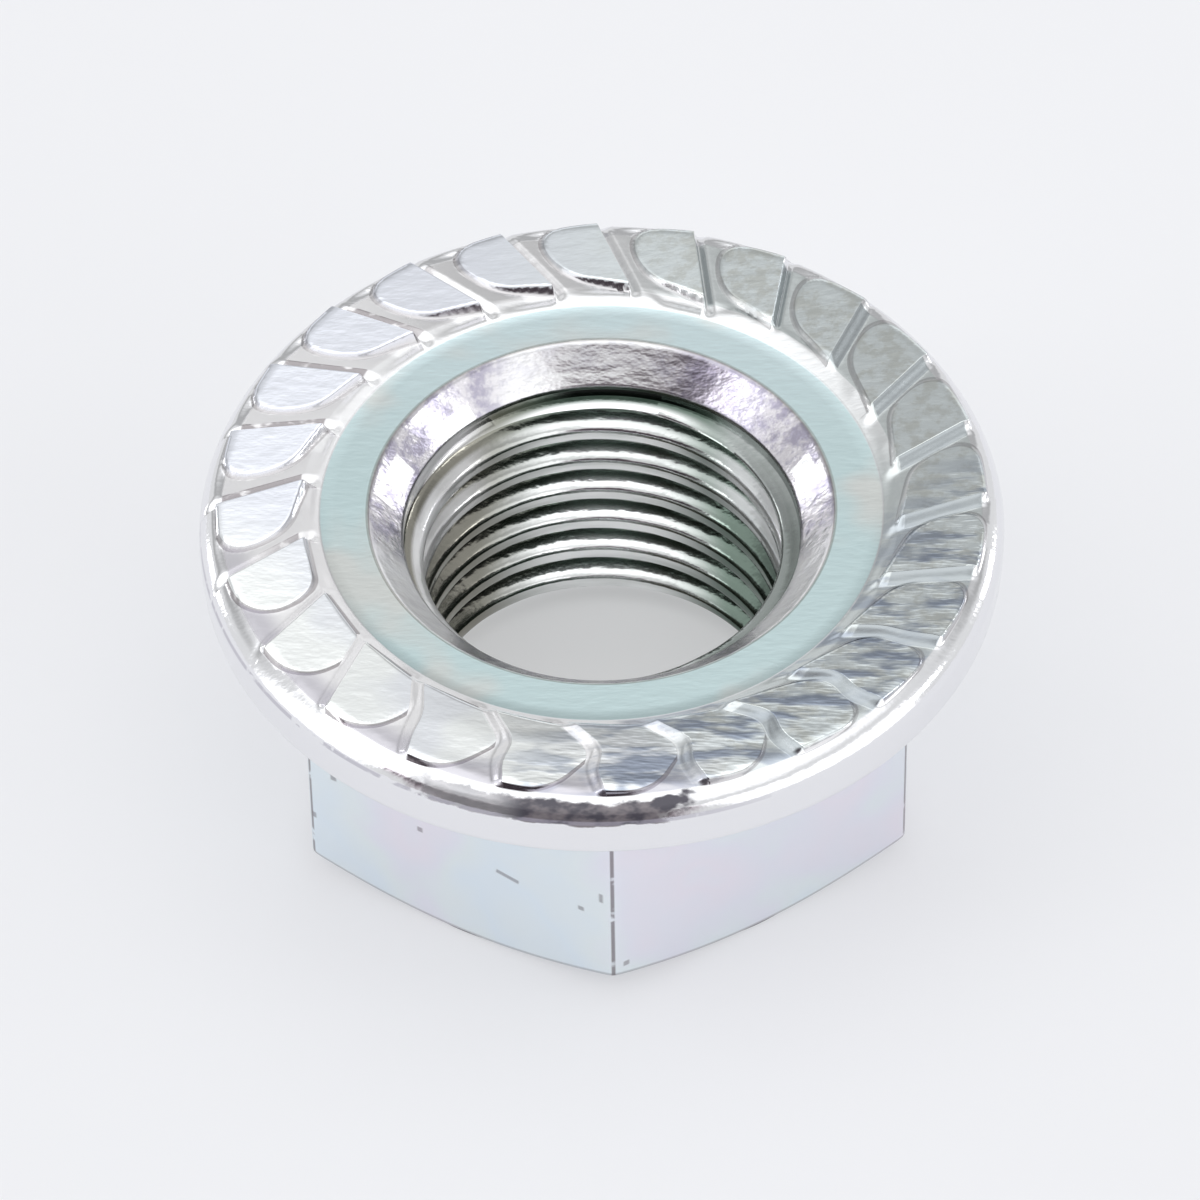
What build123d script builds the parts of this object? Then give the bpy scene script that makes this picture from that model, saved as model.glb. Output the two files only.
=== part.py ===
from build123d import *
import os
from math import asin, cos, degrees, radians, sin, tan

# Serrated hexagon flange nut for a 3/8-24 UNF bolt, forged and tapped in one piece. Millimetres.
# The origin is the centre of the hexagon's end face. +Z runs up the thread to the serrated
# bearing face, and one corner of the hexagon points along -Y.

# Thread: the bore is left plain at the minor diameter
thread_diameter = 9.525
thread_pitch = 25.4 / 24
thread_height = 0.48 * thread_pitch

# Countersinks: how far each mouth reaches past the thread's radius
countersink_side_angle = 45.0
bearing_mouth_margin = 0.755
end_mouth_margin = 0.19

# Hexagon
total_height = 8.40
across_flats = 14.20
corner_radius = 0.15
end_chamfer_angle = 30.0
end_circle_inset = 0.12

# Flange: the rim has a large round on top, a slightly barrelled side and a broken lower edge
flange_overhang = 2.425
rim_top_radius = 0.65
rim_side_height = 0.85
rim_barrel_radius = 10.0
rim_lower_chamfer = 0.15
skirt_angle = 20.0
skirt_overlap = 1.0
root_chamfer = 0.30

# Bearing face: a flat ring round the mouth, then a step up to the band that carries the teeth
ring_width = 1.12
band_rise = 0.10
band_step_run = 0.30

# Teeth: each is a ramp, rounded at its toe, that climbs to a swept crest above a V groove
tooth_count = 24
tooth_rise = 0.24
tooth_toe_rise = 0.03
tooth_step_gap = 0.05
tooth_rim_margin = 0.415
tooth_span_angle = 9.8
tooth_sweep_angle = 6.5
groove_depth = 0.09
groove_facet_angle = 35.0

# The toe of a tooth in shares of the toothed band's width: where its inner corner lies, and its rounds
toe_corner_share = 0.31
toe_inner_round_share = 0.42
toe_outer_round_share = 0.30

bore_radius = thread_diameter / 2 - thread_height
bearing_mouth_radius = thread_diameter / 2 + bearing_mouth_margin
end_mouth_radius = thread_diameter / 2 + end_mouth_margin
flange_radius = across_flats / 2 + flange_overhang
ring_radius = bearing_mouth_radius + ring_width
ring_height = total_height - tooth_rise
band_height = ring_height + band_rise
band_radius = ring_radius + band_step_run
tooth_inner_radius = band_radius + tooth_step_gap
tooth_outer_radius = flange_radius - tooth_rim_margin


def polar(radius, angle):
    return Vector(radius * cos(radians(angle)), radius * sin(radians(angle)))


def nearest_vertex(face, point):
    return face.vertices().sort_by_distance(point)[0]


# The flange is turned: the rim's profile, then the skirt that runs down into the hexagon
def flange():
    widest = Vector(flange_radius, band_height - rim_top_radius)
    top_round = JernArc(widest, (0, 1), rim_top_radius, 90)
    side_angle = degrees(asin(rim_side_height / rim_barrel_radius))
    side = JernArc(widest, (0, -1), rim_barrel_radius, -side_angle)
    lower_corner = side @ 1
    foot_radius = across_flats / 2 - skirt_overlap
    foot_drop = (lower_corner.X - foot_radius) * tan(radians(skirt_angle))
    foot = Vector(foot_radius, lower_corner.Y - foot_drop)
    rest = Polyline(lower_corner, foot, (0, foot.Y), (0, band_height), top_round @ 1)
    profile = make_face([*top_round.edges(), *side.edges(), *rest.edges()])
    profile = chamfer(nearest_vertex(profile, lower_corner), rim_lower_chamfer)
    return revolve(Plane.XZ * profile, Axis.Z)


# The hexagon reaches up into the flange, and a cone turns off its end corners
def hexagon():
    outline = Rot(Z=90) * RegularPolygon(across_flats / 2, 6, major_radius=False)
    height = band_height - rim_top_radius
    prism = extrude(fillet(outline.vertices(), corner_radius), height)
    end_radius = across_flats / 2 - end_circle_inset
    top_radius = end_radius + height / tan(radians(end_chamfer_angle))
    return prism & Cone(end_radius, top_radius, height, align=(Align.CENTER, Align.CENTER, Align.MIN))


# All that is open along the axis: end countersink, bore, bearing countersink, recess of the ring
def opening():
    side = tan(radians(countersink_side_angle))
    end_depth = (end_mouth_radius - bore_radius) / side
    bearing_depth = (bearing_mouth_radius - bore_radius) / side
    profile = Polyline(
        (0, 0),
        (end_mouth_radius, 0),
        (bore_radius, end_depth),
        (bore_radius, ring_height - bearing_depth),
        (bearing_mouth_radius, ring_height),
        (ring_radius, ring_height),
        (band_radius, band_height),
        (band_radius, total_height),
        (0, total_height),
        close=True,
    )
    return revolve(Plane.XZ * make_face(profile), Axis.Z)


# A crest starts at its outer end on +X, and its inner end is swept clockwise
crest_outer = polar(tooth_outer_radius, 0)
crest_inner = polar(tooth_inner_radius, -tooth_sweep_angle)
crest_direction = (crest_outer - crest_inner).normalized()
climb_direction = crest_direction.cross(Vector(0, 0, 1))


# Seen along the axis a tooth is a D, straight along the crest and rounded at the toe
def tooth():
    band_width = tooth_outer_radius - tooth_inner_radius
    toe_outer = polar(tooth_outer_radius, tooth_span_angle)
    toe_inner = polar(tooth_inner_radius + toe_corner_share * band_width, tooth_span_angle)
    outer_end = CenterArc((0, 0), tooth_outer_radius, 0, tooth_span_angle)
    sides = Polyline(toe_outer, toe_inner, crest_inner, crest_outer)
    outline = make_face([*outer_end.edges(), *sides.edges()])
    outline = fillet(nearest_vertex(outline, toe_inner), toe_inner_round_share * band_width)
    outline = fillet(nearest_vertex(outline, toe_outer), toe_outer_round_share * band_width)
    block = extrude(Pos(Z=ring_height) * outline, tooth_rise)
    toe = polar((tooth_inner_radius + tooth_outer_radius) / 2, tooth_span_angle)
    toe_distance = (crest_outer - toe).dot(climb_direction)
    climb = tooth_rise - band_rise - tooth_toe_rise
    ramp_normal = Vector(0, 0, toe_distance) - climb_direction * climb
    ramp = Plane(crest_outer + Vector(0, 0, total_height), x_dir=crest_direction, z_dir=ramp_normal)
    return split(block, bisect_by=ramp, keep=Keep.BOTTOM)


# The groove drops straight down below the crest and rises again along its facet
def groove():
    depth = total_height - band_height + groove_depth
    run = depth / tan(radians(groove_facet_angle))
    overrun = crest_direction * (tooth_rim_margin + band_step_run)
    start = crest_outer + overrun + Vector(0, 0, total_height)
    reach = (crest_outer - crest_inner + 2 * overrun).length
    across = Plane(start, x_dir=climb_direction, z_dir=-crest_direction)
    section = Polyline((0, 0), (0, -depth), (run, 0), close=True)
    return extrude(across * make_face(section), reach)


def flange_nut():
    turned = flange()
    prism = hexagon()
    body = turned + prism
    root = new_edges(turned, prism, combined=body).filter_by(GeomType.LINE, reverse=True)
    body = chamfer(root, root_chamfer) - opening()
    around = PolarLocations(0, tooth_count)
    body -= [place * groove() for place in around]
    return body + [place * tooth() for place in around]


if __name__ == "__main__":
    os.makedirs("parts", exist_ok=True)
    export_step(flange_nut(), "parts/flange_nut.step")
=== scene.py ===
import math

import bpy
import numpy as np
from mathutils import Matrix, Vector


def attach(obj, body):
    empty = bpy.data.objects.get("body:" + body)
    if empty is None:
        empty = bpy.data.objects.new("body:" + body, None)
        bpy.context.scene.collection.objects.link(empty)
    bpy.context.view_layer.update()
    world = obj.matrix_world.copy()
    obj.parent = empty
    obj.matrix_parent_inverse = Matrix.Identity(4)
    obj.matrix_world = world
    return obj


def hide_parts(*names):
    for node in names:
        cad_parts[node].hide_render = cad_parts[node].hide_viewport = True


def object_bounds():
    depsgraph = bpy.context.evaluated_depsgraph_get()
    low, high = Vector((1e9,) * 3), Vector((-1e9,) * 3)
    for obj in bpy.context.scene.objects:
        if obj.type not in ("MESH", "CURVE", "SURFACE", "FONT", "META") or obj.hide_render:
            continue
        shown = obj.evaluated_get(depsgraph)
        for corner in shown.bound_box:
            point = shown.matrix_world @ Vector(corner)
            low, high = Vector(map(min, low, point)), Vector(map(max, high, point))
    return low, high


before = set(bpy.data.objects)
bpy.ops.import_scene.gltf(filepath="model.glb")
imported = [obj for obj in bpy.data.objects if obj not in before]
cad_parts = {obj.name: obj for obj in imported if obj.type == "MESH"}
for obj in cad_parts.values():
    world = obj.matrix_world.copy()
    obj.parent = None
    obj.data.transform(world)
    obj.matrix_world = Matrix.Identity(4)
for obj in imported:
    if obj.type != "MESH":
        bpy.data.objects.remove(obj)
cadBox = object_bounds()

mm = 0.001
print("frame loaded")


class Link:
    # Wraps an output socket. Arithmetic on it adds Math nodes, and add() places any other node.
    def __init__(self, tree, socket=None):
        self.tree = tree
        self.socket = socket

    def add(self, kind, settings, inputs, output=0):
        node = self.tree.nodes.new(kind)
        stops = settings.get("stops")
        for name, value in settings.items():
            if name != "stops":
                setattr(node, name, value)
        if stops:
            ramp = node.color_ramp
            while len(ramp.elements) < len(stops):
                ramp.elements.new(0.5)
            for element, (place, colour) in zip(ramp.elements, stops):
                element.position = place
                element.color = colour
        for name, value in inputs.items():
            if isinstance(value, Link):
                self.tree.links.new(value.socket, node.inputs[name])
            else:
                node.inputs[name].default_value = value
        return None if output is None else Link(self.tree, node.outputs[output])

    def math(self, operation, *terms):
        return self.add("ShaderNodeMath", {"operation": operation}, dict(enumerate(terms)))

    def __add__(self, other):
        return self.math("ADD", self, other)

    def __radd__(self, other):
        return self.math("ADD", other, self)

    def __sub__(self, other):
        return self.math("SUBTRACT", self, other)

    def __rsub__(self, other):
        return self.math("SUBTRACT", other, self)

    def __mul__(self, other):
        return self.math("MULTIPLY", self, other)

    def __rmul__(self, other):
        return self.math("MULTIPLY", other, self)

    def size(self):
        return self.math("ABSOLUTE", self)

    # 0 below low, 1 above high, smooth between
    def fade(self, low, high):
        settings = {"interpolation_type": "SMOOTHSTEP"}
        return self.add("ShaderNodeMapRange", settings, {"Value": self, "From Min": low, "From Max": high})

    # 1 between the two limits and 0 further out than the soft width
    def within(self, limits, soft):
        low, high = limits
        return self.fade(low - soft, low) * self.fade(high + soft, high)

    def vector(self, operation, output, inputs):
        return self.add("ShaderNodeVectorMath", {"operation": operation}, {0: self, **inputs}, output)

    def dot(self, direction):
        return self.vector("DOT_PRODUCT", "Value", {1: direction})

    def parts(self):
        return (self.add("ShaderNodeSeparateXYZ", {}, {0: self}, axis) for axis in range(3))

    # The first colour where this is 0, the second where it is 1
    def blend(self, first, second):
        return self.add("ShaderNodeMix", {"data_type": "RGBA"}, {0: self, 6: first, 7: second}, 2)

    # This colour, turned into the other one where the share is 1
    def mix(self, share, other):
        return share.blend(self, other)


# All sizes of the nut are millimetres and degrees, measured up the axis from the hexagon's end face
nut = {
    "acrossFlats": 14.20,
    "cornerRound": 0.16,
    "hexagonTurn": 0.7,  # degrees counterclockwise, from one corner along -Y
    "endCircle": 6.98,
    "footAngle": 30.0,
    "footRound": 0.10,
    "endMouth": 4.9525,
    "ringHeight": 8.16,
    "mouthRadius": 5.5175,
    "ringRadius": 6.6375,
    "skirtAngle": 20.0,
    "rootTrim": 0.30,
    # Loops of the bearing ring: distance out from the mouth, and how many columns apart the points are
    "ringLoops": [(0.035, 4), (0.4, 4), (0.8, 2)],
    "sharpAngle": 72.0,
}
rim = {
    "bandHeight": 8.26,
    "bandRun": 0.45,
    "topRound": 0.65,
    "barrel": 10.0,
    "sideHeight": 0.85,
    "lowerTrim": 0.16,
    "flatRows": 40,
    "roundRows": 16,
    "lastTurn": 6.0,  # degrees over the widest line, where the round's last row lies
}
teeth = {
    "count": 24,
    "innerRadius": 6.9875,
    "outerRadius": 9.11,
    "sweep": 6.5,  # the crest's inner end lies this far clockwise of its outer end
    "span": 10.8,
    "spanVary": 1.6,  # longer by this at fullSide, where the die bit less, and shorter opposite
    "fullSide": -40.0,
    "spanChance": 0.35,
    "levelChance": 0.012,
    "crest": 0.139,  # over the band, as the other heights here
    "slope": 5.0,
    "grooveBottom": -0.13,
    "ridge": -0.02,
    "toe": -0.10,
    "wallRun": 0.06,
    "bottomRun": 0.09,
    "ridgeRun": 0.26,
    "toeRun": 0.95,
    "toeCorner": 0.31,
    "outerCorner": 0.75,
    "outerCornerFull": 1.25,
    "innerCorner": 1.04,
    "innerCornerFull": 0.55,
    "fullAngle": -118.0,  # round here the teeth fill the whole width of the band
    "fullReach": (0.40, 0.85),  # cosines of the angles from there where this begins and where it is whole
    "fullShort": 1.3,  # their span is less by this there
    "deepAngle": 130.0,  # round here the die bit deepest, and opposite the grooves are shallow
    "deepReach": (0.05, 0.50),
    "shallowBottom": -0.05,
    "shallowRidge": -0.035,
    "shallowToe": 0.02,
    "wallSpread": 0.26,  # added to the wall's run where the grooves are shallow
    "crestShadow": 0.24,  # width of the strip of painted shadow at the foot of the wall where they are deep
    "mark": 2.0,  # added to the outline's value in that strip, and twice on the wall
    "bow": 2.8,  # degrees the pattern bulges towards the toes at its middle
    "bowAngle": -80.0,
    "bowAround": (0.55, 0.95),
    "bowRadius": 7.75,
    "bowReach": 0.55,
    "edge": 0.05,
    "innerFall": 0.6,  # the inner side falls away this much more gently
    "onRim": (-0.15, 0.10),  # from the teeth's outer radius, where the grooves give way to the rim's
    "rimGroove": 0.10,
    "rimGrooveMiddle": 0.12,
    "rimGrooveHalf": 0.26,
    "overRim": (0.50, 0.90),  # how far outward the rim's round faces where the grooves run out
    "start": (0.08, 0.28),  # the teeth rise between these distances from the ring
    "belowRing": 0.04,  # the grooves go no deeper than this under the ring
    "shift": 0.14,  # the teeth stand this far off the axis, away from the hexagon's front corner
    "shiftFull": (7.2, 9.1),  # distances from the axis between which they do so wholly
    "shiftEdge": 0.02,  # and it ends this far inside the rim
    # Where the slope up from the ring runs on further: direction, half width, added run
    "crescents": [(149.0, 7.0, 0.16), (88.0, 12.0, 0.16), (49.0, 18.0, 0.26)],
    "crescentCore": 0.6,  # share of the half width over which the run is whole
}
lowest, highest = cadBox
flangeRadius = min(-lowest[0], -lowest[1], highest[0], highest[1]) / mm
period = 360.0 / teeth["count"]


# 0 below low and 1 above high, and 3t^2 - 2t^3 of the share t between
def smooth(value, low, high):
    share = np.clip((value - low) / (high - low), 0.0, 1.0)
    return share * share * (3.0 - 2.0 * share)


# The larger of two values, with the corner between them rounded over the given width
def softMax(first, second, width):
    overlap = np.maximum(width - np.abs(first - second), 0.0) / width
    return np.maximum(first, second) + overlap**2 * width / 4.0


def cosine(angle):
    return np.cos(np.radians(angle))


def sine(angle):
    return np.sin(np.radians(angle))


# The level direction at an angle counted counterclockwise from +X as seen from above
def heading(angle):
    return np.array([cosine(angle), sine(angle), 0.0])


chance = np.random.default_rng(24)
toothSpan = teeth["span"] + teeth["spanChance"] * chance.uniform(-1.0, 1.0, teeth["count"])
toothLevel = teeth["levelChance"] * chance.uniform(-1.0, 0.0, teeth["count"])
toothAngles = period * np.arange(teeth["count"])
toothSpan = toothSpan + teeth["spanVary"] * cosine(toothAngles - teeth["fullSide"])
toothFull = smooth(cosine(toothAngles - teeth["fullAngle"]), *teeth["fullReach"])
toothDeep = smooth(cosine(toothAngles - teeth["deepAngle"]), *teeth["deepReach"])
toothSpan = toothSpan - teeth["fullShort"] * toothFull
crestInner = heading(-teeth["sweep"])[:2] * teeth["innerRadius"]
crestOuter = np.array([teeth["outerRadius"], 0.0])
crestLine = (crestOuter - crestInner) / np.linalg.norm(crestOuter - crestInner)
climb = np.array([-crestLine[1], crestLine[0]])


# Angle of the straight crest line at a distance from the axis: constant past its two ends
def sweepAngle(radius):
    share = np.linspace(0.0, 1.0, 65)[:, None]
    points = crestInner + share * (crestOuter - crestInner)
    reach = np.hypot(points[:, 0], points[:, 1])
    angles = np.degrees(np.arctan2(points[:, 1], points[:, 0]))
    return np.interp(radius, reach, angles)


# Points of each tooth's share of a loop. The powers crowd them towards the crests.
columns = {
    "land": 28,
    "groove": 12,
    "grooveSpan": 0.34,
    "landPower": 1.25,
    "groovePower": 1.8,
}


# Angles of one loop's columns. Each tooth's share starts on its crest line; most columns divide the land
# and the gap behind it, and the last ones crowd towards the next crest, at fixed distances from its line.
def columnAngles(radius):
    radius = np.asarray(radius, float)[:, None]
    land = np.linspace(0.0, 1.0, columns["land"], endpoint=False) ** columns["landPower"]
    groove = np.linspace(1.0, 0.0, columns["groove"], endpoint=False) ** columns["groovePower"]
    across = np.degrees(columns["grooveSpan"] / radius) / crestLine[0]
    tooth = np.concatenate([land * (period - across), period - groove * across], axis=1)
    starts = np.arange(teeth["count"])[:, None] * period
    angles = tooth[:, None, :] + starts + sweepAngle(radius)[:, :, None]
    return angles.reshape(len(radius), -1)


# Which tooth's share of the ring a point lies in, counted from the crest line at +X. The small number
# keeps a point that lies on a crest line with its own tooth.
def toothNumber(radius, angle):
    return np.floor((angle - sweepAngle(radius)) / period + 1e-6).astype(int) % teeth["count"]


# The pattern's bulge, a bell over the band's width and strongest on the near side
def bow(radius, angle):
    bell = np.exp(-(((radius - teeth["bowRadius"]) / teeth["bowReach"]) ** 2))
    return teeth["bow"] * bell * smooth(cosine(angle - teeth["bowAngle"]), *teeth["bowAround"])


# How far a point lies outside the D of the tooth behind the crest line, less than 0 inside: the largest of
# its distances past the outer arc, the toe and the inner side, with rounded corners between them
def petalOutline(radius, angle):
    behind = np.mod(angle - sweepAngle(radius), period) + sweepAngle(radius)
    number = toothNumber(radius, angle)
    span, full = toothSpan[number], toothFull[number]
    x, y = radius * cosine(behind), radius * sine(behind)
    outerSide = radius - teeth["outerRadius"]
    toeSide = y * cosine(span) - x * sine(span)
    width = teeth["outerRadius"] - teeth["innerRadius"]
    toeRadius = teeth["innerRadius"] + teeth["toeCorner"] * width * (1.0 - full)
    runX = toeRadius * cosine(span) - crestInner[0]
    runY = toeRadius * sine(span) - crestInner[1]
    innerSide = ((y - crestInner[1]) * runX - (x - crestInner[0]) * runY) / np.hypot(runX, runY)
    innerSide = innerSide * teeth["innerFall"]
    outerCorner = teeth["outerCorner"] + (teeth["outerCornerFull"] - teeth["outerCorner"]) * full
    innerCorner = teeth["innerCorner"] + (teeth["innerCornerFull"] - teeth["innerCorner"]) * full
    return softMax(softMax(outerSide, toeSide, outerCorner), innerSide, innerCorner)


# Height of the serrations over the plain band. Ahead of a crest the surface drops to a groove, climbs a
# short facet to a ridge and falls gently; the land behind the crest is a ramp inside the D. The second
# result is the mark on the outline's value, on the crest's wall and beside its foot.
def toothHeight(radius, angle):
    behind = np.mod(angle - sweepAngle(radius), period) + sweepAngle(radius)
    x, y = radius * cosine(behind), radius * sine(behind)
    climbed = (x - crestOuter[0]) * climb[0] + (y - crestOuter[1]) * climb[1]
    ahead = behind - period
    past = -((radius * cosine(ahead) - crestOuter[0]) * climb[0] + radius * sine(ahead) * climb[1])

    number = toothNumber(radius, angle)
    deep = toothDeep[(number + 1) % teeth["count"]]
    crest = teeth["crest"] + toothLevel[number]
    land = crest - climbed * math.tan(math.radians(teeth["slope"]))
    knots = [0.0, teeth["bottomRun"], teeth["ridgeRun"], teeth["toeRun"]]
    levels = [teeth["grooveBottom"], teeth["grooveBottom"], teeth["ridge"], teeth["toe"]]
    shallow = [teeth["shallowBottom"], teeth["shallowBottom"], teeth["shallowRidge"], teeth["shallowToe"]]
    gap = np.interp(past, knots, levels) * deep + np.interp(past, knots, shallow) * (1.0 - deep)
    onRim = smooth(radius - teeth["outerRadius"], *teeth["onRim"])
    fromMiddle = np.abs(past - teeth["rimGrooveMiddle"])
    rimGap = -teeth["rimGroove"] * deep * (1.0 - smooth(fromMiddle, 0.0, teeth["rimGrooveHalf"]))
    gap = gap + (rimGap - gap) * onRim
    inside = 1.0 - smooth(petalOutline(radius, angle), -teeth["edge"], 0.0)
    height = gap + (np.maximum(land, gap) - gap) * inside
    wallRun = teeth["wallRun"] + teeth["wallSpread"] * (1.0 - deep)
    wall = 1.0 - smooth(past / wallRun, 0.0, 1.0)
    # Marks for painted shade: on the crest's wall, and a strip of painted shadow beside its foot where the
    # grooves are deep
    underCrest = (past < wallRun).astype(float) + (past < wallRun + teeth["crestShadow"] * deep)
    return height + (height[:, :1] - height) * wall, teeth["mark"] * underCrest


# The turned blank under the serrations, from the ring to the rim's widest line: each row's distance from
# the axis, height, and the two parts of the direction that stands off it
def blankRows():
    roundStart = flangeRadius - rim["topRound"]
    flat = np.linspace(nut["ringRadius"], roundStart, rim["flatRows"], endpoint=False)
    turn = np.linspace(90.0, rim["lastTurn"], rim["roundRows"])
    radius = np.concatenate([flat, roundStart + rim["topRound"] * cosine(turn)])
    share = np.clip((flat - nut["ringRadius"]) / rim["bandRun"], 0.0, 1.0)
    flatHeight = nut["ringHeight"] + (rim["bandHeight"] - nut["ringHeight"]) * share
    roundHeight = rim["bandHeight"] - rim["topRound"] + rim["topRound"] * sine(turn)
    height = np.concatenate([flatHeight, roundHeight])
    outward = np.concatenate([np.zeros_like(flat), cosine(turn)])
    upward = np.concatenate([np.ones_like(flat), sine(turn)])
    return radius, height, outward, upward


# Rows of points as one block, from angle, distance from the axis and height, each rows by columns. The
# fourth number goes with the point: its distance outside a tooth's outline, with the mark under a crest.
def block(angle, radius, height, outline=1.0):
    angle, radius, height, outline = np.broadcast_arrays(angle, radius, height, outline)
    return np.stack([radius * cosine(angle), radius * sine(angle), height, outline], axis=2)


# How much later the teeth start: each crescent's added run, whole at its core and 0 at its half width
def crescent(angle):
    later = np.zeros_like(angle)
    for direction, halfWidth, run in teeth["crescents"]:
        core = cosine(teeth["crescentCore"] * halfWidth)
        later = later + run * smooth(cosine(angle - direction), cosine(halfWidth), core)
    return later


# The toothed band and the rim's round: the blank moved along its own direction by the teeth's height
def bandBlock():
    radius, height, outward, upward = blankRows()
    angles = columnAngles(radius)
    raised, underCrest = toothHeight(radius[:, None], angles)
    fromRing = radius[:, None] - nut["ringRadius"] - crescent(angles)
    start = smooth(fromRing, *teeth["start"])
    over = 1.0 - smooth(outward, *teeth["overRim"])[:, None]
    raised = raised * start * over
    lift = height[:, None] + raised * upward[:, None]
    flat = radius[:, None] < flangeRadius - rim["topRound"]
    lift = np.where(flat, np.maximum(lift, nut["ringHeight"] - teeth["belowRing"] * start), lift)
    outline = np.clip(petalOutline(radius[:, None], angles), -1.0, 1.0) + underCrest
    bowed = angles + bow(radius[:, None], angles)
    points = block(bowed, radius[:, None] + raised * outward[:, None], lift, outline)
    fullFrom, fullTo = teeth["shiftFull"]
    end = flangeRadius - teeth["shiftEdge"]
    shifted = smooth(radius, nut["ringRadius"], fullFrom) - smooth(radius, fullTo, end)
    points[:, :, 1] += teeth["shift"] * shifted[:, None]
    return points


# Distance from the axis to the hexagon's side, the apothem over the cosine of the angle from the middle of
# the flat, limited at the corners. A round takes 0.155 of its radius off a corner of 120 degrees.
def hexagonRadius(angle):
    apothem = nut["acrossFlats"] / 2
    turned = np.mod(angle + 90.0 - nut["hexagonTurn"], 60.0) - 30.0
    side = apothem / cosine(turned)
    corner = apothem / cosine(30.0) - 0.155 * nut["cornerRound"]
    return -softMax(-side, -np.full_like(side, corner), 0.5 * nut["cornerRound"])


# A run of straight lines through corners with every corner rounded: between the trim points on its two
# sides a corner is the blend start (1-t)^2 + 2 corner t(1-t) + end t^2
def roundedRun(corners):
    rows = []
    for place, (radius, height, trim, cuts, onward) in enumerate(corners):
        here = np.stack([radius, height])
        if trim:
            before = np.stack(corners[place - 1][:2])
            after = np.stack(corners[place + 1][:2])
            start = here + (before - here) * trim / np.linalg.norm(before - here, axis=0)
            end = here + (after - here) * trim / np.linalg.norm(after - here, axis=0)
            for t in np.linspace(0.0, 1.0, cuts):
                rows.append(start * (1 - t) ** 2 + 2 * here * t * (1 - t) + end * t * t)
        else:
            rows.append(here)
        if onward:
            following = corners[place + 1]
            after = np.stack(following[:2])
            last = rows[-1]
            target = after + (here - after) * following[2] / np.linalg.norm(after - here, axis=0)
            for t in np.linspace(0.0, 1.0, onward + 2)[1:-1]:
                rows.append(last + (target - last) * t)
    return np.stack(rows)


# Rim side, skirt, hexagon, foot and end face, as far as the end countersink
def outsideBlock():
    angle = columnAngles([flangeRadius])[0, ::2]
    same = np.ones_like(angle)
    middle = rim["bandHeight"] - rim["topRound"]
    drop = math.asin(rim["sideHeight"] / rim["barrel"])
    lowerRadius = flangeRadius - rim["barrel"] * (1 - math.cos(drop))
    lowerHeight = middle - rim["sideHeight"]
    side = hexagonRadius(angle)
    rootHeight = lowerHeight - (lowerRadius - side) * math.tan(math.radians(nut["skirtAngle"]))
    footHeight = (side - nut["endCircle"]) * math.tan(math.radians(nut["footAngle"]))
    halfwayRadius = flangeRadius - rim["barrel"] * (1 - math.cos(drop / 2))
    halfwayHeight = middle - rim["barrel"] * math.sin(drop / 2)
    # Distance from the axis, height, trim, rows in the corner, rows on the way to the next corner
    corners = [
        (flangeRadius * same, middle * same, 0, 1, 1),
        (halfwayRadius * same, halfwayHeight * same, 0, 1, 1),
        (lowerRadius * same, lowerHeight * same, rim["lowerTrim"], 6, 2),
        (side, rootHeight, nut["rootTrim"], 6, 2),
        (side, footHeight, nut["footRound"], 4, 2),
        (nut["endCircle"] * same, 0 * same, nut["footRound"], 4, 0),
        (nut["endMouth"] * same, 0 * same, 0, 1, 0),
    ]
    rows = roundedRun(corners)[:-1]
    return block(angle[None, :], rows[:, 0], rows[:, 1])


# One loop halfway across the flat end face
def endFaceBlock():
    radius = (nut["endCircle"] + nut["endMouth"]) / 2
    return block(columnAngles([flangeRadius])[:, ::4], radius, 0.0)


thread = {
    "diameter": 9.525,
    "pitch": 25.4 / 24,
    "height": 0.508,
    "crestShare": 0.22,  # of the pitch, flat at the minor diameter
    "rootShare": 0.02,  # of the pitch, flat at the major diameter
    "turn": -0.04,  # of a pitch
    "topLevel": 7.44,
    "reliefDepth": 1.12,  # below the ring the crests are bored away this far
    "reliefRadius": 4.70,
    "rowsPerPitch": 15,
    "coneRows": 7,
}


# The opening from its foot up: a helical thread that rises counterclockwise, its depth a smooth wave of
# the height less the turn, cut off by a cone at each end
def openingBlock():
    top = nut["ringHeight"]
    step = thread["pitch"] / thread["rowsPerPitch"]
    coneTop = np.linspace(top, thread["topLevel"], thread["coneRows"], endpoint=False)[::-1]
    height = np.concatenate([np.arange(0.0, thread["topLevel"], step), coneTop])[:, None]
    angle = columnAngles([nut["mouthRadius"]])[:, ::4]
    phase = height / thread["pitch"] - angle / 360.0 + thread["turn"]
    fromCrest = np.abs(np.mod(phase, 1.0) - 0.5) * 2.0
    depth = smooth(fromCrest, thread["crestShare"], 1 - thread["rootShare"])
    radius = thread["diameter"] / 2 - thread["height"] * (1.0 - depth)
    relief = thread["reliefRadius"] * (height > top - thread["reliefDepth"])
    radius = np.maximum(np.maximum(radius, relief), nut["endMouth"] - height)
    radius = np.maximum(radius, nut["mouthRadius"] - (top - height))
    return block(angle, radius, height)


# The flat bearing ring, with the mouth's edge broken
def ringBlocks():
    angle = columnAngles([nut["mouthRadius"]])
    return [
        block(angle[:, ::step], nut["mouthRadius"] + fromMouth, nut["ringHeight"])
        for fromMouth, step in nut["ringLoops"]
    ]


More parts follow.
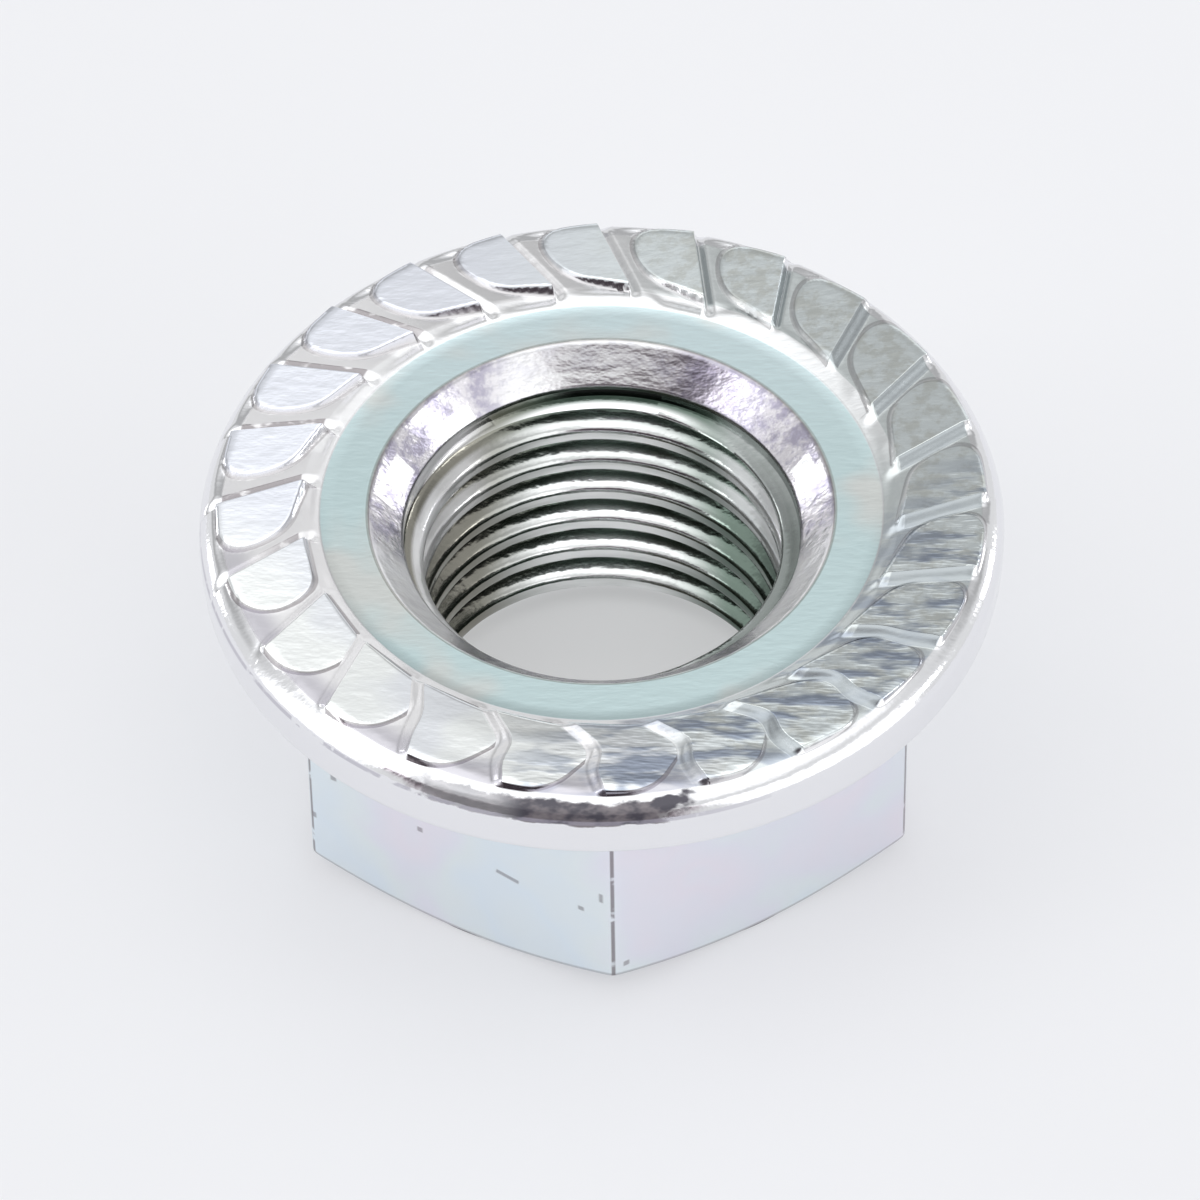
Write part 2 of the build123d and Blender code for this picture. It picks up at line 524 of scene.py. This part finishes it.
# Faces between two closed loops of vertex numbers: quads where they have the same count, and three
# triangles over each pair of edges where one has twice the other's
def facesBetween(first, second):
    if len(first) == len(second):
        return np.stack([first, second, np.roll(second, -1), np.roll(first, -1)], axis=1).tolist()
    if len(first) < len(second):
        return [face[::-1] for face in facesBetween(second, first)]
    even, odd, following = first[::2], first[1::2], np.roll(first, -2)[::2]
    near, far = second, np.roll(second, -1)
    return np.concatenate(
        [
            np.stack([even, near, odd], axis=1),
            np.stack([odd, near, far], axis=1),
            np.stack([odd, far, following], axis=1),
        ]
    ).tolist()


# One closed mesh from blocks of loops, the last joined to the first
def closedMesh(name, blocks):
    points = np.concatenate([part.reshape(-1, 4) for part in blocks])
    loops = []
    count = 0
    for part in blocks:
        rows, across = part.shape[:2]
        loops += list(count + np.arange(rows * across).reshape(rows, across))
        count += rows * across
    faces = []
    for first, second in zip(loops, loops[1:] + loops[:1]):
        faces += facesBetween(first, second)
    mesh = bpy.data.meshes.new(name)
    mesh.from_pydata((points[:, :3] * mm).tolist(), [], faces)
    outline = mesh.attributes.new("outline", "FLOAT", "POINT")
    outline.data.foreach_set("value", points[:, 3].astype(np.float32))
    mesh.shade_smooth()
    mesh.set_sharp_from_angle(angle=math.radians(nut["sharpAngle"]))
    piece = bpy.data.objects.new(name, mesh)
    bpy.context.scene.collection.objects.link(piece)
    return piece


nutBlocks = [*ringBlocks(), bandBlock(), outsideBlock(), endFaceBlock(), openingBlock()]
flangeNut = closedMesh("serrated_flange_nut", nutBlocks)
print("nut built:", len(flangeNut.data.polygons), "faces")


plating = {
    "ring": (0.70, 0.86, 0.875, 1),
    "ringFarPaintedLight": (0.78, 0.93, 0.96, 1),
    "ringPink": (0.84, 0.83, 0.80, 1),
    "land": (0.88, 0.94, 0.95, 1),
    "landBeige": (0.66, 0.67, 0.62, 1),
    "landLilac": (0.85, 0.87, 0.94, 1),
    "landPaintedLight": (0.98, 1.0, 0.99, 1),
    "landBlue": (0.30, 0.35, 0.46, 1),
    "gap": (0.88, 0.87, 0.88, 1),
    "gapPaintedShade": (0.68, 0.72, 0.72, 1),
    "wallPaintedShade": (0.36, 0.39, 0.41, 1),
    "bare": (0.86, 0.86, 0.88, 1),
    "sideBlue": (0.79, 0.87, 0.93, 1),
    "sideMint": (0.82, 0.88, 0.90, 1),
    "sideLilac": (0.83, 0.84, 0.91, 1),
    "sidePink": (0.86, 0.83, 0.90, 1),
    "mouth": (0.60, 0.58, 0.61, 1),
    # A lilac tone, also used for painted shade in the gaps and a painted dark line on the rim
    "lilacAndShade": (0.37, 0.35, 0.43, 1),
    # White of the painted highlights and reflections
    "paintedHighlight": (0.97, 0.97, 0.98, 1),
    "threadPaintedHighlight": (0.99, 1.0, 1.0, 1),
    "threadFlankShade": (0.13, 0.17, 0.145, 1),
    "threadBrownShade": (0.28, 0.27, 0.235, 1),
    # A dark reflection painted on the near rim, and its lighter mottle
    "rimShade": (0.045, 0.04, 0.06, 1),
    "rimShadeLight": (0.20, 0.175, 0.19, 1),
    # Dark specks and lines, and painted shade along the teeth's steps and the hexagon's foot
    "grimeAndShade": (0.16, 0.13, 0.14, 1),
}
marks = {
    # Dark specks on the hexagon: direction from the axis, height, half length, half thickness, lean
    "specks": [
        (-144.9, 3.84, 0.04, 0.08, 0.0),
        (-148.8, 2.16, 0.03, 0.06, 0.0),
        (-127.9, 3.23, 0.04, 0.05, 0.0),
        (-120.0, 4.38, 0.03, 0.03, 0.0),
        (-109.1, 2.82, 0.27, 0.03, -11.0),
        (-94.7, 2.77, 0.04, 0.04, 0.0),
        (-91.2, 3.43, 0.015, 0.12, 0.0),
        (-87.1, 1.01, 0.04, 0.05, 0.0),
    ],
    # Painted reflections of windows in the countersink: direction, distance from the axis, half width,
    # half height
    "windowReflections": [
        (160.9, 5.05, 0.36, 0.20),
        (135.0, 4.84, 0.50, 0.16),
        (16.8, 5.07, 0.34, 0.20),
    ],
}


# Where the finishes begin and end, in millimetres
zones = {
    # Distances from the axis
    "lip": (5.50, 5.56),
    "ring": (5.54, 6.62),
    "fold": (6.70, 7.10),
    "gaps": (6.70, 8.95),
    "walls": (7.20, 8.95),
    # Heights on the rim: where a dark reflection is painted on the near side, and where a dark line is
    # painted between two reflections
    "stain": (7.78, 8.13),
    "darkReflectionLine": (7.78, 7.84),
    # From left to right on the rim's near side, where the dark reflection is painted
    "reflectionAcross": (-4.2, 1.35),
    # Values of the outline, which carries the teeth's marks
    "line": (-0.05, 0.02),
    "crestShadow": (1.6, 3.0),
    "wallMark": (3.2, 3.6),
    # Sides of the nut: direction, and how far out the side begins and is whole
    "nearRight": (-50.3, 3.2, 6.8),
    "nearLeft": (-124.8, 4.0, 7.0),
}
# Noises: scale per millimetre, detail, roughness, and the stretch of each axis
noises = {
    "broad": (0.15, 3.0, 0.5, (1.0, 1.0, 1.0)),
    "patches": (0.33, 2.0, 0.5, (1.0, 1.0, 1.0)),
    "grain": (6.0, 2.0, 0.5, (0.35, 1.0, 1.0)),
    "lumps": (2.3, 3.0, 0.6, (0.6, 1.0, 1.0)),
    "streaks": (1.3, 3.0, 0.6, (0.4, 1.5, 1.0)),
    "chatter": (1.9, 4.0, 0.65, (1.0, 1.0, 1.0)),
    "turned": (1.6, 2.0, 0.5, (0.15, 0.15, 1.0)),
}


# Noise on the nut's own millimetres, each axis first multiplied by its stretch
def cloud(spot, scale, detail, roughness, stretch):
    spread = spot.add("ShaderNodeMapping", {}, {"Vector": spot, "Scale": stretch})
    inputs = {"Vector": spread, "Scale": scale, "Detail": detail, "Roughness": roughness}
    return spot.add("ShaderNodeTexNoise", {}, inputs)


# 0 up to the low distance from the axis towards a direction, 1 past the high one
def facing(spot, direction, low, high):
    return spot.dot(heading(direction)).fade(low, high)


# 1 in an upright box that faces a direction from the axis. The height is z, or the radius on a cone.
def patch(spot, height, azimuth, level, halfWidth, halfHeight, soft, lean=0.0):
    along = spot.dot(heading(azimuth + 90.0))
    rise = height - level
    across = (along * cosine(lean) + rise * sine(lean)).size()
    up = (rise * cosine(lean) - along * sine(lean)).size()
    wide = across.fade(halfWidth + soft, halfWidth)
    return wide * up.fade(halfHeight + soft, halfHeight) * facing(spot, azimuth, 0.0, 1.0)


# The hexagon's thin film of colour, from mint over blue and lilac to pink
def filmColour(noise):
    stops = [
        (0.30, plating["sideMint"]),
        (0.42, plating["sideBlue"]),
        (0.49, plating["sideMint"]),
        (0.55, plating["sideLilac"]),
        (0.62, plating["sidePink"]),
        (0.72, plating["sideBlue"]),
    ]
    share = noise["broad"] * 0.65 + noise["patches"] * 0.35
    return share.add("ShaderNodeValToRGB", {"stops": stops}, {"Fac": share})


# The teeth's lands: lilac at the left, pale with painted light at the near left, blue in streaks at the
# near right
def landColour(x, nearLeft, stain, noise):
    beige = noise["chatter"].fade(0.42, 0.62) * x.fade(-1.0, 3.0)
    lilac = noise["patches"].fade(0.45, 0.60) * nearLeft
    colour = x.fade(2.0, -4.0).blend(plating["land"], plating["landLilac"])
    colour = colour.mix(beige * 0.6, plating["landBeige"]).mix(nearLeft, plating["landPaintedLight"])
    return colour.mix(lilac * 0.6, plating["landLilac"]).mix(stain * 0.85, plating["landBlue"])


# The flat bearing ring, with painted light making it brighter on the far side, and faint pink clouds
def ringColour(y, noise):
    colour = y.fade(1.0, 6.0).blend(plating["ring"], plating["ringFarPaintedLight"])
    return colour.mix(noise["patches"].fade(0.52, 0.70) * 0.8, plating["ringPink"])


# The bearing countersink, torn by the tap, with painted highlights and painted reflections of windows
def mouthColour(spot, x, y, radius, low, noise):
    # Painted highlights: white at the inner edge and middle of the far side, and low on the near side
    inner = radius.fade(5.06, 4.96) * y.fade(0.0, 3.0) * (x + 0.1).size().fade(1.9, 0.8)
    middle = y.fade(3.0, 4.4) * (x + 0.4).size().fade(2.6, 1.4)
    dull = y.fade(2.4, 3.4) * (x - 2.9).size().fade(1.3, 0.5)
    colour = noise["chatter"].fade(0.42, 0.62).blend(plating["mouth"], plating["lilacAndShade"])
    colour = colour.mix(dull * 0.6, plating["lilacAndShade"])
    colour = colour.mix(middle * 0.65 + low * 0.8, plating["paintedHighlight"])
    colour = colour.mix(inner, plating["paintedHighlight"])
    for box in marks["windowReflections"]:
        colour = colour.mix(patch(spot, radius, *box, 0.05), plating["paintedHighlight"])
    return colour


# The thread: painted highlights on the crests that fade to flanks darkened as painted shade at both sides,
# and worn flanks near the top
def threadColour(x, radius, worn, noise):
    flank = x.fade(-0.5, -3.5).blend(plating["threadFlankShade"], plating["threadBrownShade"])
    flank = flank.mix(worn * 0.9, plating["bare"])
    # A painted highlight down the middle of the crests
    crestHighlight = x.size().fade(3.2, 0.8) * (0.75 + 0.25 * noise["turned"].fade(0.40, 0.55))
    crest = flank.mix(crestHighlight, plating["threadPaintedHighlight"])
    return flank.mix(radius.fade(4.62, 4.42), crest)


# Clear zinc: bluish green on the turned ring, pale on the pressed teeth, faintly coloured on the hexagon
# and bare in the tapped opening, with a fine grain all over
def clearZinc():
    material = bpy.data.materials.new("clear_zinc")
    material.use_nodes = True
    tree = material.node_tree
    tree.nodes.clear()
    metres = Link(tree).add("ShaderNodeTexCoord", {}, {}, "Object")
    spot = metres.vector("SCALE", 0, {"Scale": 1 / mm})
    x, y, z = spot.parts()
    radius = spot.math("SQRT", x * x + y * y)
    outline = spot.add("ShaderNodeAttribute", {"attribute_name": "outline"}, {}, "Fac")
    noise = {name: cloud(spot, *settings) for name, settings in noises.items()}
    lumps, streaks = noise["lumps"], noise["streaks"]

    # Masks of the nut's surfaces and sides
    top = z.fade(8.05, 8.10)
    ring = top * radius.within(zones["ring"], 0.05)
    mouth = radius.fade(5.54, 5.50) * z.fade(7.33, 7.38)
    tapped = radius.fade(4.90, 4.80) * (1 - mouth)
    side = z.fade(6.4, 6.0) * radius.fade(6.0, 6.4)
    land = outline.fade(0.0, -0.05) * z.fade(8.0, 8.1)
    gap = top * (1 - land) * radius.within(zones["gaps"], 0.06)
    rimSide = radius.fade(9.0, 9.2)
    nearRight = facing(spot, *zones["nearRight"])
    nearLeft = facing(spot, *zones["nearLeft"])

    # Where a surface is stained, worn or dull, and the dark reflection painted on the near rim
    stain = nearRight * streaks.fade(0.44, 0.60)
    low = y.fade(0.2, -1.6) * x.size().fade(3.0, 3.8)
    deepest = radius.fade(4.46, 4.58) * z.fade(7.05, 6.95)
    worn = tapped * z.fade(4.4, 5.4) * x.size().fade(2.4, 3.4) * (1 - deepest)
    worn = worn * (0.7 + 0.3 * noise["turned"].fade(0.42, 0.56))
    worn = worn * (1 - 0.6 * x.fade(0.0, 1.0) * z.fade(6.1, 6.7))
    # A dark reflection of the camera's side, painted on the near rim as a matt patch, ragged and mottled
    ragged = lumps - 0.5
    shade = (z + ragged * 0.3).within(zones["stain"], 0.05) * y.fade(-8.0, -8.3)
    shade = shade * (x + ragged * 2.5).within(zones["reflectionAcross"], 0.5)
    shade = shade * (0.45 + 0.50 * x.fade(-2.8, -1.8))

    # The gaps greyer towards the right, as painted shade
    gapColour = x.fade(-1.0, 4.0).blend(plating["gap"], plating["gapPaintedShade"])
    gapColour = gapColour.mix(stain * 0.6, plating["landBlue"])
    # A painted highlight along the slope up from the ring on the far side
    fold = top * radius.within(zones["fold"], 0.04) * y.fade(0.0, 3.0)
    colour = filmColour(noise).mix(1 - side, plating["bare"]).mix(gap, gapColour)
    colour = colour.mix(fold * 0.8, plating["paintedHighlight"])
    colour = colour.mix(land, landColour(x, nearLeft, stain, noise)).mix(ring, ringColour(y, noise))
    colour = colour.mix(mouth, mouthColour(spot, x, y, radius, low, noise))
    colour = colour.mix(tapped, threadColour(x, radius, worn, noise))

    # Painted shade: dark lines along the steps round the teeth, and along the hexagon's foot as its
    # contact shadow. Dark lines also at the hexagon's corners and round the mouth. The corners are found
    # from the angle round the axis in sixths of a turn.
    line = outline.within(zones["line"], 0.015) * top
    around = spot.math("ARCTAN2", y, x) * (3 / math.pi) - (nut["hexagonTurn"] - 90.0) / 60.0 + 6.0
    corner = spot.math("PINGPONG", around, 0.5).fade(0.0075, 0.003) * side
    corner = corner * streaks.fade(0.38, 0.46) * z.fade(0.1, 0.3)
    overFoot = z - (radius - nut["endCircle"]) * math.tan(math.radians(nut["footAngle"]))
    foot = overFoot.fade(0.15, 0.06) * side
    lip = top * radius.within(zones["lip"], 0.02)
    onWalls = top * radius.within(zones["walls"], 0.05)
    # Painted shade on the crests' walls at the right, which face the camera
    wall = outline.fade(*zones["wallMark"]) * onWalls * x.fade(0.5, 3.5)
    # A strip of painted shadow beside the crests' walls on the left, where the grooves are deep
    crestShadow = outline.within(zones["crestShadow"], 0.4) * onWalls * x.fade(-3.0, -5.0) * y.fade(-2.0, -0.5)
    crestShadow = crestShadow * lumps.fade(0.36, 0.48)
    # Painted shade in the outer ends of the gaps at the near left
    gapShade = gap * nearLeft * radius.fade(8.15, 8.7)
    # A thin dark line painted on the near-left rim, where the reflections of the ceiling and the left lamp
    # meet
    darkReflectionLine = z.within(zones["darkReflectionLine"], 0.04) * rimSide * nearLeft * lumps.fade(0.40, 0.50)
    colour = colour.mix(line * (0.35 + 0.3 * nearLeft), plating["grimeAndShade"])
    colour = colour.mix(corner * 0.75, plating["grimeAndShade"])
    colour = colour.mix(wall * 0.8, plating["wallPaintedShade"]).mix(crestShadow * 0.7, plating["grimeAndShade"])
    colour = colour.mix(lip * 0.5, plating["threadBrownShade"])
    colour = colour.mix(shade, lumps.fade(0.42, 0.62).blend(plating["rimShade"], plating["rimShadeLight"]))
    colour = colour.mix(foot * 0.45, plating["grimeAndShade"])
    colour = colour.mix(gapShade * 0.5 + darkReflectionLine * 0.5, plating["lilacAndShade"])
    for azimuth, level, halfLength, halfThickness, lean in marks["specks"]:
        speck = patch(spot, z, azimuth, level, halfLength, halfThickness, 0.06, lean) * side
        colour = colour.mix(speck * 0.55, plating["grimeAndShade"])

    lumpy = 0.8 - 0.1 * land + 2.2 * mouth + 0.5 * tapped + 0.3 * rimSide - 0.4 * ring - 0.5 * side
    streaky = 5.0 * land * nearRight + 0.6 * gap + 0.9 * rimSide * (1 - nearLeft)
    relief = 0.3 * noise["grain"] + lumps * lumpy + streaks * streaky
    bump = spot.add("ShaderNodeBump", {}, {"Height": relief, "Strength": 1.0, "Distance": 0.01 * mm})
    roughness = 0.12 + 0.10 * ring + 0.15 * side + 0.12 * mouth + 0.14 * gap
    # The painted dark reflection on the near rim and worn places shine less like bare metal
    metallic = 1 - 0.85 * shade - 0.6 * worn - 0.5 * mouth * low - 0.5 * gap * x.fade(-3.0, -6.0)
    inputs = {"Base Color": colour, "Metallic": metallic, "Roughness": roughness, "Normal": bump}
    shader = spot.add("ShaderNodeBsdfPrincipled", {}, inputs)
    spot.add("ShaderNodeOutputMaterial", {}, {"Surface": shader}, None)
    return material


flangeNut.data.materials.append(clearZinc())
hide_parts("flange_nut")
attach(flangeNut, "root")
print("plating done")


# Directions are an azimuth, counted clockwise from +X as seen from above, and an elevation over the floor
room = {
    "plain": 0.80,
    "ceiling": 0.62,  # added overhead
    "ceilingFrom": (0.78, 0.92),  # sines of the elevation, as all limits of height here
    "shade": 0.34,  # taken off in a band on the far side
    "shadeFrom": (0.42, 0.54),
    "shadeTo": (0.80, 0.60),
    "shadeBack": (0.1, 0.5),
    "front": 0.90,  # share taken off on the camera's side
    "frontTo": (0.70, 0.60),
    "frontBack": (0.12, -0.02),
    "frontMiddle": -0.20,
    "frontHalf": (0.58, 0.42),
    "tint": (0.985, 0.995, 1.0, 1),
    "frontTint": (1.0, 0.80, 0.92, 1),
    "lamps": [
        # azimuth, elevation, half width, half height, soft edge, added level
        (168.0, 22.0, 0.24, 0.62, 0.10, 0.6),
        (34.0, 14.0, 0.38, 0.46, 0.10, 0.6),
        (210.0, 9.0, 0.10, 0.13, 0.01, 3.0),
        (332.0, 10.0, 0.10, 0.13, 0.01, 3.0),
        (4.0, 26.0, 0.13, 0.10, 0.01, 3.0),
        (160.0, 34.0, 0.10, 0.12, 0.01, 3.0),
    ],
}
floor = {
    "size": 6.0,
    "drop": 0.01 * mm,  # keeps the end face clear of the floor
    "colour": (0.40, 0.40, 0.405, 1),
    "glow": (0.465, 0.47, 0.49, 1),
    "glowShaded": (0.42, 0.425, 0.43, 1),  # less inside the nut's opening, as painted shade
    "under": (6.0 * mm, 5.0 * mm),
}


# A square plane that shines a little by itself, less so inside the nut's opening as painted shade
def floorPlane():
    half = floor["size"] / 2
    mesh = bpy.data.meshes.new("floor")
    corners = [(-half, -half), (half, -half), (half, half), (-half, half)]
    mesh.from_pydata([(x, y, -floor["drop"]) for x, y in corners], [], [(0, 1, 2, 3)])
    plane = bpy.data.objects.new("floor", mesh)
    bpy.context.scene.collection.objects.link(plane)
    material = bpy.data.materials.new("lit_table")
    material.use_nodes = True
    tree = material.node_tree
    place = Link(tree).add("ShaderNodeTexCoord", {}, {}, "Object")
    under = place.vector("LENGTH", "Value", {}).fade(*floor["under"])
    glow = under.blend(floor["glow"], floor["glowShaded"])
    shader = tree.nodes["Principled BSDF"]
    shader.inputs["Base Color"].default_value = floor["colour"]
    shader.inputs["Roughness"].default_value = 1.0
    shader.inputs["Specular IOR Level"].default_value = 0.0
    tree.links.new(glow.socket, shader.inputs["Emission Color"])
    shader.inputs["Emission Strength"].default_value = 1.0
    mesh.materials.append(material)


# A bright rectangle in the room's light: its level where a direction is within its width and height
def lamp(direction, azimuth, elevation, halfWidth, halfHeight, soft, level):
    toward = heading(-azimuth) * cosine(elevation) + np.array([0.0, 0.0, sine(elevation)])
    across = heading(90.0 - azimuth)
    upward = np.cross(toward, across)
    side = direction.dot(across).size().fade(halfWidth + soft, halfWidth)
    height = direction.dot(upward).size().fade(halfHeight + soft, halfHeight)
    ahead = direction.dot(toward).fade(0.0, 0.1)
    return side * height * ahead * level


# The room round the nut: pale, with a bright ceiling, a darker band on the far side, lamps at both sides
# and a dark front
def lightRoom():
    world = bpy.data.worlds.new("studio")
    bpy.context.scene.world = world
    world.use_nodes = True
    tree = world.node_tree
    direction = Link(tree).add("ShaderNodeTexCoord", {}, {}, "Generated")
    x, y, z = direction.parts()
    band = z.fade(*room["shadeFrom"]) * z.fade(*room["shadeTo"]) * y.fade(*room["shadeBack"])
    front = (x - room["frontMiddle"]).size().fade(*room["frontHalf"])
    front = front * y.fade(*room["frontBack"]) * z.fade(*room["frontTo"])
    level = room["plain"] - room["shade"] * band + room["ceiling"] * z.fade(*room["ceilingFrom"])
    for box in room["lamps"]:
        level = level + lamp(direction, *box)
    level = level * (1 - room["front"] * front)
    tint = front.blend(room["tint"], room["frontTint"])
    background = tree.nodes["Background"]
    tree.links.new(tint.socket, background.inputs["Color"])
    tree.links.new(level.socket, background.inputs["Strength"])


floorPlane()
lightRoom()
print("room lit")


view = {
    "target": (0.0, 0.0, nut["ringHeight"] * mm),
    "elevation": 47.39,
    "azimuth": -90.0,
    "roll": 1.0,
    "distance": 0.18886,
    "lens": 240.0,
    "sensor": 36.0,
    "aim": (0.0001625, 0.0115),  # tangents, how far right and up of the middle the target lies
}


# The camera looks back along its elevation and azimuth at the target, rolled and aimed a little aside
def placeCamera():
    camera = bpy.data.objects.new("camera", bpy.data.cameras.new("camera"))
    bpy.context.scene.collection.objects.link(camera)
    camera.data.lens = view["lens"]
    camera.data.sensor_width = view["sensor"]
    camera.data.clip_start = 0.01
    elevation, azimuth = math.radians(view["elevation"]), math.radians(view["azimuth"])
    level = Vector((math.cos(azimuth), math.sin(azimuth), 0))
    back = level * math.cos(elevation) + Vector((0, 0, math.sin(elevation)))
    right = Vector((-math.sin(azimuth), math.cos(azimuth), 0))
    axes = Matrix((right, back.cross(right), back)).transposed()
    roll = Matrix.Rotation(-math.radians(view["roll"]), 3, "Z")
    aim = Vector((*view["aim"], -1)).normalized()
    turn = Vector((0, 0, -1)).rotation_difference(aim).to_matrix().transposed()
    place = Matrix.Translation(Vector(view["target"]) + back * view["distance"])
    camera.matrix_world = place @ (axes @ roll @ turn).to_4x4()
    bpy.context.scene.camera = camera


placeCamera()
bpy.context.scene.view_settings.view_transform = "Standard"
print("studio set")
